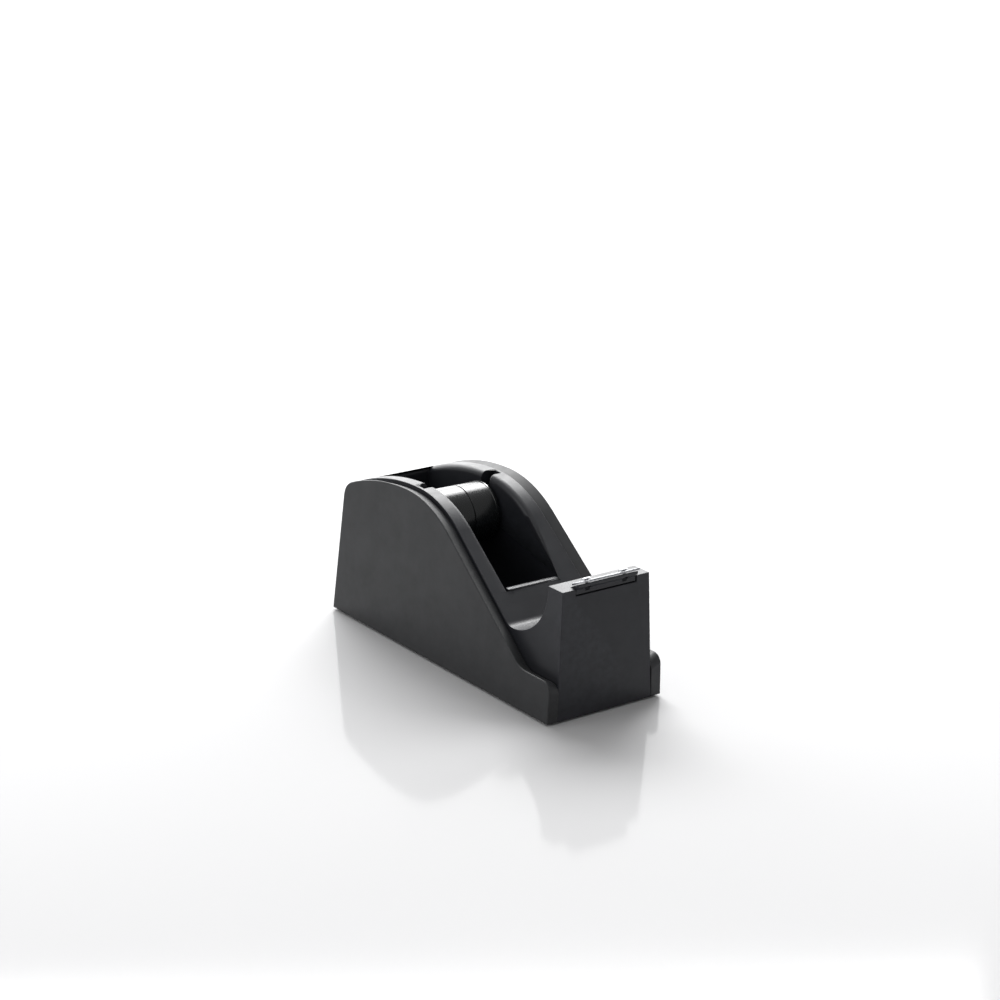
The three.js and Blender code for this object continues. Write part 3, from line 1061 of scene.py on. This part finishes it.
@dataclass
class CentreFrame:
    """The moulding with the tower, the dip, the roll well and the axle's two slots."""

    finishes: Finishes
    wall: float = 2.3
    edge: float = 0.3
    fine_edge: float = 0.3
    well_width: float = 27
    well_from_front: float = 50
    well_length: float = 89.5
    well_floor: float = 14
    well_corner: float = 6
    rim_round: float = 2.6
    ledge_round: float = 3
    tub_wall: float = 2
    hub_from_front: float = 99
    hub_height: float = 51.5
    slot_radius: float = 2.8
    slot_reach: float = 19.24
    pocket_half: float = 5.8
    notch_half: float = 14.8
    notch_depth: float = 3.3
    notch_floor: float = 49.9
    post_radius: float = 3.5
    above: float = 90

    @property
    def well_front(self) -> float:
        """Y of the well's front wall."""
        return LINES.front + self.well_from_front

    @property
    def well_back(self) -> float:
        """Y of the well's back wall."""
        return self.well_front + self.well_length

    @property
    def hub_y(self) -> float:
        """Y of the hub's axis."""
        return LINES.front + self.hub_from_front

    def skin(self) -> bpy.types.Object:
        """Models the outside of the frame as a drafted, rounded block."""
        lines = LINES
        skin = lines.saddle("centre_moulding", -30, 60, 0, lines.walls_above_table)
        for side in Side:
            halve(skin, (side.value * lines.frame_half(0), 0, 0), (side.value, 0, lines.frame_draft))
        soften(skin, self.edge, 3)
        return skin

    def well(self) -> bpy.types.Object:
        """Models the room of the well, with the rounding of the ledge in front of it."""
        floor, front, back = self.well_floor, self.well_front, self.well_back
        downhill = Vector((-math.cos(LINES.slope), -math.sin(LINES.slope)))
        ledge = LINES.toe_inner + downhill * ((LINES.toe_inner.x - front) / math.cos(LINES.slope))
        start = ledge + downhill * (self.ledge_round / math.tan((math.pi / 2 - LINES.slope) / 2))
        pen = Pen("well_room", start, origin=(-self.well_width / 2, 0, 0))
        pen.round(ledge, (front, floor), self.ledge_round, 10)
        pen.round((front, floor), (back, floor), self.well_corner, 8)
        pen.round((back, floor), (back, self.above), self.well_corner, 8)
        pen.line((back, self.above), (start.x, self.above))
        return pen.slab(self.well_width)

    def round_rim(self, moulding: bpy.types.Object) -> None:
        """Rounds the rim of the well, along its sides and its back."""
        half = self.well_width / 2

        def on_rim(a: Vector, b: Vector) -> bool:
            """Says whether an edge is part of the rim."""
            lengthwise = a.x * b.x > 0 or a.y > self.well_back - 0.1
            return lengthwise and all(abs(abs(v.x) - half) < 0.02 and LINES.on_top(v.yz) for v in (a, b))

        edit(moulding)
        pick_edges(moulding, on_rim)
        bpy.ops.mesh.bevel(offset=self.rim_round * MM, segments=6, affect="EDGES")
        release()

    def slots(self) -> bpy.types.Object:
        """Models the room of the two U slots in which the axle's ends stand."""
        radius, y, z = self.slot_radius, self.hub_y, self.hub_height
        pen = Pen("slot_room", (y - radius, self.above), origin=(-self.slot_reach, 0, 0))
        pen.line((y - radius, z)).arc((y, z), math.pi, 18).line((y + radius, self.above))
        return pen.slab(2 * self.slot_reach)

    def hollow(self) -> bpy.types.Object:
        """Models the room inside the frame, round the tub, the axle pockets and the screw posts."""
        lines = LINES
        room = lines.saddle("inner_room", -30, 60, self.wall, -1)
        for side in Side:
            halve(room, (side.value * (lines.frame_half(0) - self.wall), 0, 0),
                  (side.value, 0, lines.frame_draft))
        tub = self.well_width / 2 + self.tub_wall
        combine(room, block("tub", (-tub, self.well_front - self.tub_wall, self.well_floor - self.tub_wall),
                            (tub, self.well_back + self.tub_wall, self.above)))
        half = self.pocket_half
        combine(room, block("pockets", (-30, self.hub_y - half, self.hub_height - half),
                            (30, self.hub_y + half, self.above)))
        for _, x, y in Fasteners.base_places():
            top = self.above if y < self.well_front else self.well_floor - self.tub_wall + 1
            combine(room, rod("post", self.post_radius, (x, y, BasePlate.inside_floor()), (x, y, top)))
        return room

    def build(self) -> None:
        """Models, dresses and places the frame."""
        lines = LINES
        moulding = self.skin()
        combine(moulding, self.well())
        combine(moulding, self.slots())
        self.round_rim(moulding)
        notch = block("notch", (-self.notch_half, lines.front - 3, self.notch_floor),
                      (self.notch_half, lines.front + lines.tower_lean + self.notch_depth, self.above))
        combine(moulding, notch)
        soften(moulding, self.fine_edge, 2, 50)
        combine(moulding, self.hollow())
        bore_top = BASE_SCREW.seat + BASE_SCREW.length + lines.gap
        for _, x, y in Fasteners.base_places():
            combine(moulding, rod("bore", BASE_SCREW.bore, (x, y, -1), (x, y, bore_top), 24))
        combine(moulding, BasePlate.room())
        hand_over(moulding, Body.HOUSING, Slot.FRAME, self.finishes.frame, "centre_frame")


# ---- Base plate and feet -------------------------------------------------------------------------


@dataclass
class BasePlate:
    """The plate that closes the body from below, on four rubber feet."""

    finishes: Finishes
    thickness: float = 2.8
    foot_radius: float = 5.5
    foot_height: float = 2
    foot_from_end: float = 9.5
    foot_spacing: float = 37
    panel_margin: float = 1.2
    panel_step: float = 0.4
    panel_depth: float = 0.4

    @staticmethod
    def inside_floor() -> float:
        """Height just above the plate."""
        return LINES.walls_above_table + BasePlate.thickness + LINES.gap

    @staticmethod
    def corners() -> tuple[Vector, Vector]:
        """Gives the plate's lowest and highest corners."""
        low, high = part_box("base_plate")
        return low / MM, high / MM

    @staticmethod
    def room() -> bpy.types.Object:
        """Models the room that the walls leave for the plate."""
        low, high = BasePlate.corners()
        gap = LINES.gap
        return block("plate_room", (low.x - gap, low.y - gap, -1), (high.x + gap, high.y + gap,
                                                                     high.z + gap))

    def feet(self) -> list[tuple[str, float, float]]:
        """Gives each foot's name and place."""
        half = self.foot_spacing / 2
        front, rear = LINES.front + self.foot_from_end, LINES.heel - self.foot_from_end
        return [("front_left_foot", -half, front), ("front_right_foot", half, front),
                ("rear_left_foot", -half, rear), ("rear_right_foot", half, rear)]

    def foot(self) -> bpy.types.Object:
        """Models one foot: a disc with rounded edges and two rings in its sole."""
        radius, height = self.foot_radius, self.foot_height
        pen = Pen("foot", (0, 0.25), across=(1, 0, 0))
        pen.line((1.6, 0.25), (1.9, 0), (3.1, 0), (3.3, 0.3), (3.7, 0.3), (3.9, 0), (radius - 0.6, 0))
        pen.arc((radius - 0.6, 0.6), math.pi / 2, 5)
        pen.line((radius - 0.15, height - 0.2), (radius - 0.35, height), (0, height))
        return pen.turned((0, 0, 0), (0, 0, 1), 48, closed=False)

    def plate(self) -> bpy.types.Object:
        """Models the plate with rounded corners, a sunk panel, foot pockets and screw holes."""
        low, high = self.corners()
        plate = block("floor_plate", low, high)
        edit(plate)
        pick_edges(plate, lambda a, b: abs(a.z - b.z) > 1)
        bpy.ops.mesh.bevel(offset=2 * MM, segments=5, affect="EDGES")
        pick_faces(plate, lambda middle, normal: normal.z < -0.9)
        bpy.ops.mesh.inset(thickness=self.panel_margin * MM)
        bpy.ops.mesh.inset(thickness=self.panel_step * MM, depth=-self.panel_depth * MM)
        release()
        gap, below, above = LINES.gap, -1, 6
        for _, x, y in self.feet():
            combine(plate, rod("pocket", self.foot_radius + gap, (x, y, below),
                               (x, y, self.foot_height + gap)))
        for kind, places in ((BASE_SCREW, Fasteners.base_places()),
                             (BALLAST_SCREW, Fasteners.ballast_places())):
            for _, x, y in places:
                combine(plate, rod("head_room", kind.head_bore, (x, y, below), (x, y, kind.seat + gap), 32))
                combine(plate, rod("bore", kind.bore, (x, y, below), (x, y, above), 24))
        soften(plate, 0.15, 2, 50)
        return plate

    def build(self) -> None:
        """Models, dresses and places the plate and the feet."""
        hand_over(self.plate(), Body.HOUSING, Slot.FRAME, self.finishes.frame, "base_plate")
        pattern = self.foot()
        for name, x, y in self.feet():
            foot = copy_of(pattern, name.replace("foot", "pad"))
            bpy.ops.transform.translate(value=(x * MM, y * MM, 0))
            settle(foot)
            hand_over(foot, Body.HOUSING, Slot.RUBBER, self.finishes.rubber, name)
        bpy.data.objects.remove(pattern, do_unlink=True)


# ---- Fasteners ----------------------------------------------------------------------------------


@dataclass
class Fasteners:
    """The screws that hold the plate and the ballast from below."""

    finishes: Finishes
    @staticmethod
    def place(node: str) -> tuple[str, float, float]:
        """Gives a CAD node's name and the middle of its box, seen from above."""
        low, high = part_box(node)
        middle = (low + high) / 2 / MM
        return node, middle.x, middle.y

    @staticmethod
    def base_places() -> list[tuple[str, float, float]]:
        """Gives the name and place of each base screw."""
        return [Fasteners.place(f"{end}_{side}_base_screw") for end in ("front", "rear")
                for side in ("left", "right")]

    @staticmethod
    def ballast_places() -> list[tuple[str, float, float]]:
        """Gives the name and place of each ballast screw."""
        return [Fasteners.place(f"{spot}_ballast_screw") for spot in ("front", "middle", "rear")]

    def build(self) -> None:
        """Models, dresses and places the screws, driven up from below."""
        for kind, places in ((BASE_SCREW, self.base_places()), (BALLAST_SCREW, self.ballast_places())):
            pattern = kind.model("screw_pattern")
            pattern.rotation_euler.x = math.pi
            settle(pattern)
            for node, x, y in places:
                screw = copy_of(pattern, node.replace("_screw", "_bolt"))
                bpy.ops.transform.translate(value=(x * MM, y * MM, kind.seat * MM))
                settle(screw)
                hand_over(screw, Body.HOUSING, Slot.SCREW, self.finishes.screw, node)
            bpy.data.objects.remove(pattern, do_unlink=True)


# ---- Ballast -------------------------------------------------------------------------------------


@dataclass
class Ballast:
    """The iron weights inside the body, which keep their frame shapes."""

    finishes: Finishes
    nodes: tuple[str, ...] = ("front_ballast", "main_ballast", "left_side_ballast", "right_side_ballast")

    def build(self) -> None:
        """Dresses the weights in cast iron."""
        for name in self.nodes:
            node = frame["nodes"][name]
            node.material_slots[0].link = "OBJECT"
            node.material_slots[0].material = self.finishes.iron
            LOG.info("%s: dressed in cast iron", name)


# ---- Cutting edge --------------------------------------------------------------------------------


@dataclass
class CuttingEdge:
    """The toothed blade on its carrier, across the tower's top."""

    finishes: Finishes
    width: float = 29
    thickness: float = 0.8
    length: float = 7.6
    slope: float = math.radians(24)
    arch: float = 0.7
    back_edge: float = 2.9
    teeth: int = 14
    tooth_depth: float = 1.7
    carrier_depth: float = 3.0
    carrier_seat: float = 2.3
    carrier_lip: float = 1.2
    screw_spacing: float = 18
    screw_seat: float = 2.3

    @property
    def tower_top(self) -> float:
        """Y of the tower's front face at its top."""
        return LINES.front + LINES.tower_lean

    def carrier_top(self, y: float) -> float:
        """Gives the height of the carrier's sloping top."""
        back = self.tower_top + self.carrier_depth
        return LINES.tower_height + 0.4 + (back - y) * math.tan(self.slope)

    @property
    def seat(self) -> Vector:
        """Middle of the blade's back edge, on its underside."""
        y = self.tower_top + self.back_edge
        return Vector((0, y, self.carrier_top(y) + LINES.gap / math.cos(self.slope)))

    @property
    def forward(self) -> Vector:
        """Direction from the blade's back edge to its tips."""
        return Vector((0, -math.cos(self.slope), math.sin(self.slope)))

    @property
    def upward(self) -> Vector:
        """Normal of the blade's top."""
        return Vector((0, math.sin(self.slope), math.cos(self.slope)))

    def tip(self, x: float) -> float:
        """Gives how far the tips reach at a place across the blade."""
        return self.length - self.arch * (2 * x / self.width) ** 2

    def blade(self) -> bpy.types.Object:
        """Models the blade with ground teeth."""
        half, pitch = self.width / 2, self.width / self.teeth
        pen = Pen("toothed_blade", (half, 0), origin=self.seat, across=(1, 0, 0), up=self.forward)
        pen.line((-half, 0))
        for tooth in range(self.teeth):
            start = -half + tooth * pitch
            pen.line((start, self.tip(start) - self.tooth_depth),
                     (start + pitch / 2 - 0.06, self.tip(start + pitch / 2)),
                     (start + pitch / 2 + 0.06, self.tip(start + pitch / 2)))
        pen.line((half, self.tip(half) - self.tooth_depth))
        blade = pen.slab(-self.thickness)
        edit(blade)
        top, seat, forward = self.upward, self.seat, self.forward
        reach = self.length - self.arch - self.tooth_depth - 0.2

        def ground(a: Vector, b: Vector) -> bool:
            """Says whether an edge runs along the teeth on the blade's top."""
            return all((v - seat).dot(top) > self.thickness - 0.05 and (v - seat).dot(forward) > reach
                       for v in (a, b)) and abs(a.x - b.x) > 0.05

        pick_edges(blade, ground)
        bpy.ops.mesh.bevel(offset=0.28 * MM, segments=1, affect="EDGES", clamp_overlap=True)
        release()
        return blade

    def carrier(self) -> bpy.types.Object:
        """Models the wedge under the blade."""
        front, gap = self.tower_top, LINES.gap
        nose, back = front - self.carrier_lip, front + self.carrier_depth
        bottom = LINES.tower_height - self.carrier_seat
        half = self.width / 2
        pen = Pen("blade_wedge", (front + gap, bottom), origin=(-half, 0, 0))
        pen.line((back, bottom), (back, self.carrier_top(back)), (nose, self.carrier_top(nose)),
                 (nose, self.carrier_top(nose) - 1.2), (front + gap, LINES.tower_height - 0.6))
        wedge = pen.slab(self.width)
        soften(wedge, 0.25, 2, 25)
        return wedge

    def build(self) -> None:
        """Models, dresses and places the blade, its carrier and its screws."""
        blade, wedge = self.blade(), self.carrier()
        pattern = BLADE_SCREW.model("blade_screw_pattern")
        pattern.rotation_euler.x = -self.slope
        settle(pattern)
        for side in Side:
            middle = self.seat + self.forward * self.screw_seat
            middle.x = side.value * self.screw_spacing / 2
            reach = self.upward * 3
            for piece in (blade, wedge):
                combine(piece, rod("bore", BLADE_SCREW.bore, middle - reach, middle + reach, 24))
            spot = (middle + self.upward * (self.thickness + LINES.gap)) * MM
            node = f"{side.name.lower()}_blade_screw"
            screw = copy_of(pattern, node.replace("_screw", "_bolt"))
            bpy.ops.transform.translate(value=spot)
            settle(screw)
            hand_over(screw, Body.HOUSING, Slot.SCREW, self.finishes.screw, node)
        bpy.data.objects.remove(pattern, do_unlink=True)
        soften(blade, 0.06, 1, 60)
        hand_over(blade, Body.HOUSING, Slot.BLADE, self.finishes.blade, "cutter_blade")
        hand_over(wedge, Body.HOUSING, Slot.FRAME, self.finishes.frame, "blade_carrier")


# ---- Roll hub ------------------------------------------------------------------------------------


@dataclass
class RollHub:
    """The lift-out axle with its two spacers, and the two halves of the hub that turns on it."""

    finishes: Finishes
    radius: float = 12.5
    wall: float = 2
    bore: float = 2.8
    half_start: float = 0.15
    half_end: float = 12.3
    axle_radius: float = 2.5
    axle_half: float = 18.94
    spacer_radius: float = 4.5
    spacer_start: float = 12.6
    spacer_end: float = 13.2
    window_radius: float = 1.7
    window_reach: float = 6.6
    windows: int = 6

    @property
    def centre(self) -> Vector:
        """A point of the hub's axis."""
        low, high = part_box("axle")
        return (low + high) / 2 / MM

    def pen(self, name: str, start: Pair) -> Pen:
        """Starts an outline of (place along the axis, radius)."""
        return Pen(name, start, origin=self.centre, across=(1, 0, 0))

    def half(self) -> bpy.types.Object:
        """Models the right-hand half: a cup with a rounded rim, a groove and round windows."""
        outer, inner, start, end = self.radius, self.radius - self.wall, self.half_start, self.half_end
        pen = self.pen("right_hub_cup", (end - self.wall, self.bore))
        pen.line((end - self.wall, inner - 0.8)).arc((end - self.wall - 0.8, inner - 0.8), math.pi / 2, 4)
        pen.line((start, inner), (start, outer - 0.15), (start + 0.15, outer))
        pen.line((end - 1.9, outer), (end - 1.75, outer - 0.2), (end - 1.35, outer - 0.2), (end - 1.2, outer))
        pen.line((end - 0.5, outer)).arc((end - 0.5, outer - 0.5), -math.pi / 2, 5)
        pen.line((end, self.bore + 2.2), (end - 0.3, self.bore + 2), (end - 0.3, self.bore + 0.3),
                 (end - 0.6, self.bore))
        cup = pen.turned(self.centre, (1, 0, 0), 96)
        for window in range(self.windows):
            angle = 2 * math.pi * window / self.windows
            spot = self.centre + Vector((0, math.cos(angle), math.sin(angle))) * self.window_reach
            combine(cup, rod("window", self.window_radius, spot + Vector((end - 4, 0, 0)),
                             spot + Vector((end + 2, 0, 0)), 32))
        return cup

    def axle(self) -> bpy.types.Object:
        """Models the axle with chamfered ends and a shallow groove near each."""
        end, radius = self.axle_half, self.axle_radius
        pen = self.pen("axle_pin", (-end, 0))
        pen.line((-end, radius - 0.5), (-end + 0.5, radius), (-end + 2.6, radius), (-end + 2.8, radius - 0.2),
                 (-end + 3.2, radius - 0.2), (-end + 3.4, radius), (end - 3.4, radius),
                 (end - 3.2, radius - 0.2), (end - 2.8, radius - 0.2), (end - 2.6, radius),
                 (end - 0.5, radius), (end, radius - 0.5), (end, 0))
        return pen.turned(self.centre, (1, 0, 0), 48, closed=False)

    def spacer(self) -> bpy.types.Object:
        """Models the right-hand spacer, a thin washer with rounded rims."""
        start, end, rim, bore = self.spacer_start, self.spacer_end, self.spacer_radius, self.bore
        pen = self.pen("right_washer", (start, bore + 0.1))
        pen.line((start, rim - 0.15), (start + 0.15, rim), (end - 0.15, rim), (end, rim - 0.15),
                 (end, bore + 0.1), (end - 0.1, bore), (start + 0.1, bore))
        return pen.turned(self.centre, (1, 0, 0), 48)

    def build(self) -> None:
        """Models, dresses and places the hub, the axle and the spacers."""
        cup, washer = self.half(), self.spacer()
        left_cup, left_washer = mirrored(cup, "left_hub_cup"), mirrored(washer, "left_washer")
        hand_over(cup, Body.HUB, Slot.HUB, self.finishes.hub, "right_hub_half")
        hand_over(left_cup, Body.HUB, Slot.HUB, self.finishes.hub, "left_hub_half")
        hand_over(washer, Body.AXLE, Slot.SCREW, self.finishes.screw, "right_spacer")
        hand_over(left_washer, Body.AXLE, Slot.SCREW, self.finishes.screw, "left_spacer")
        hand_over(self.axle(), Body.AXLE, Slot.FRAME, self.finishes.frame, "axle")


# ---- Studio --------------------------------------------------------------------------------------


@dataclass
class Studio:
    """Pale glossy floor, soft panels of light and the camera."""

    camera_aim: Triple = (6.153, 5.0, 62.708)
    camera_distance: float = 1009.36
    camera_azimuth: float = math.radians(-36.843)
    camera_elevation: float = math.radians(18.46)
    camera_roll: float = math.radians(1.371)
    lens: float = 90
    sensor: float = 36
    floor_size: float = 30000
    floor_colour: Triple = (0.50, 0.50, 0.505)
    floor_index: float = 1.13
    sky: float = 0.36

    def camera(self) -> None:
        """Sets the camera up."""
        release()
        level = math.cos(self.camera_elevation)
        back = Vector((math.sin(self.camera_azimuth) * level, -math.cos(self.camera_azimuth) * level,
                       math.sin(self.camera_elevation)))
        place = Vector(self.camera_aim) + back * self.camera_distance
        bpy.ops.object.camera_add(location=place * MM)
        camera = bpy.context.active_object
        camera.name = "studio_camera"
        camera.rotation_euler = (-back).to_track_quat("-Z", "Y").to_euler()
        camera.rotation_euler.rotate_axis("Z", self.camera_roll)
        camera.data.lens = self.lens
        camera.data.sensor_width = self.sensor
        camera.data.clip_end = 100
        camera.data.dof.use_dof = False
        bpy.context.scene.camera = camera

    def panel(self, name: str, place: Triple, width: float, height: float, radiance: float) -> None:
        """Hangs a rectangular light that faces the object.

        Args:
            name: Light name.
            place: Middle of the panel, in metres.
            width: Width, in metres.
            height: Height, in metres.
            radiance: Brightness of its face.
        """
        release()
        bpy.ops.object.light_add(type="AREA", location=place)
        panel = bpy.context.active_object
        panel.name = name
        panel.rotation_euler = (Vector((0, 0, 0.03)) - Vector(place)).to_track_quat("-Z", "Y").to_euler()
        panel.data.shape = "RECTANGLE"
        panel.data.size, panel.data.size_y = width, height
        panel.data.energy = radiance * math.pi * width * height

    def floor(self) -> None:
        """Lays the floor."""
        release()
        bpy.ops.mesh.primitive_plane_add(size=self.floor_size * MM)
        floor = bpy.context.active_object
        floor.name = "floor"
        graph = FinishGraph("polished_floor")
        graph.fix(Base_Color=(*self.floor_colour, 1), IOR=self.floor_index)
        graph.feed("Roughness", graph.spread(graph.noise(400, 3), 0.3, 0.7, 0.06, 0.1))
        floor.data.materials.append(graph.material)

    def build(self) -> None:
        """Builds the floor, the lights and the camera."""
        self.camera()
        self.floor()
        world = bpy.data.worlds.new("studio")
        bpy.context.scene.world = world
        world.use_nodes = True
        world.node_tree.nodes["Background"].inputs["Color"].default_value = (1, 1, 1, 1)
        world.node_tree.nodes["Background"].inputs["Strength"].default_value = self.sky
        self.panel("back_panel", (1.3, 2.4, 1.1), 5.0, 2.5, 4.2)
        self.panel("high_panel", (0.8, 1.3, 1.5), 1.6, 0.9, 12.0)
        self.panel("top_panel", (0, 0.3, 2.2), 2.0, 2.0, 0.9)
        self.panel("left_panel", (-2.0, 0.4, 1.0), 1.6, 1.4, 1.6)
        bpy.context.scene.view_settings.view_transform = "Standard"
        LOG.info("studio: floor, four panels and camera")


def main() -> None:
    """Builds the dispenser and its studio, piece by piece."""
    logging.basicConfig(level=logging.INFO, format="%(name)s: %(message)s")
    Studio().build()
    finishes = Finishes.mixed()
    for assembly in (SideShells, CentreFrame, BasePlate, Fasteners, Ballast, CuttingEdge, RollHub):
        assembly(finishes).build()
        LOG.info("%s finished", assembly.__name__)


if __name__ == "__main__":
    main()
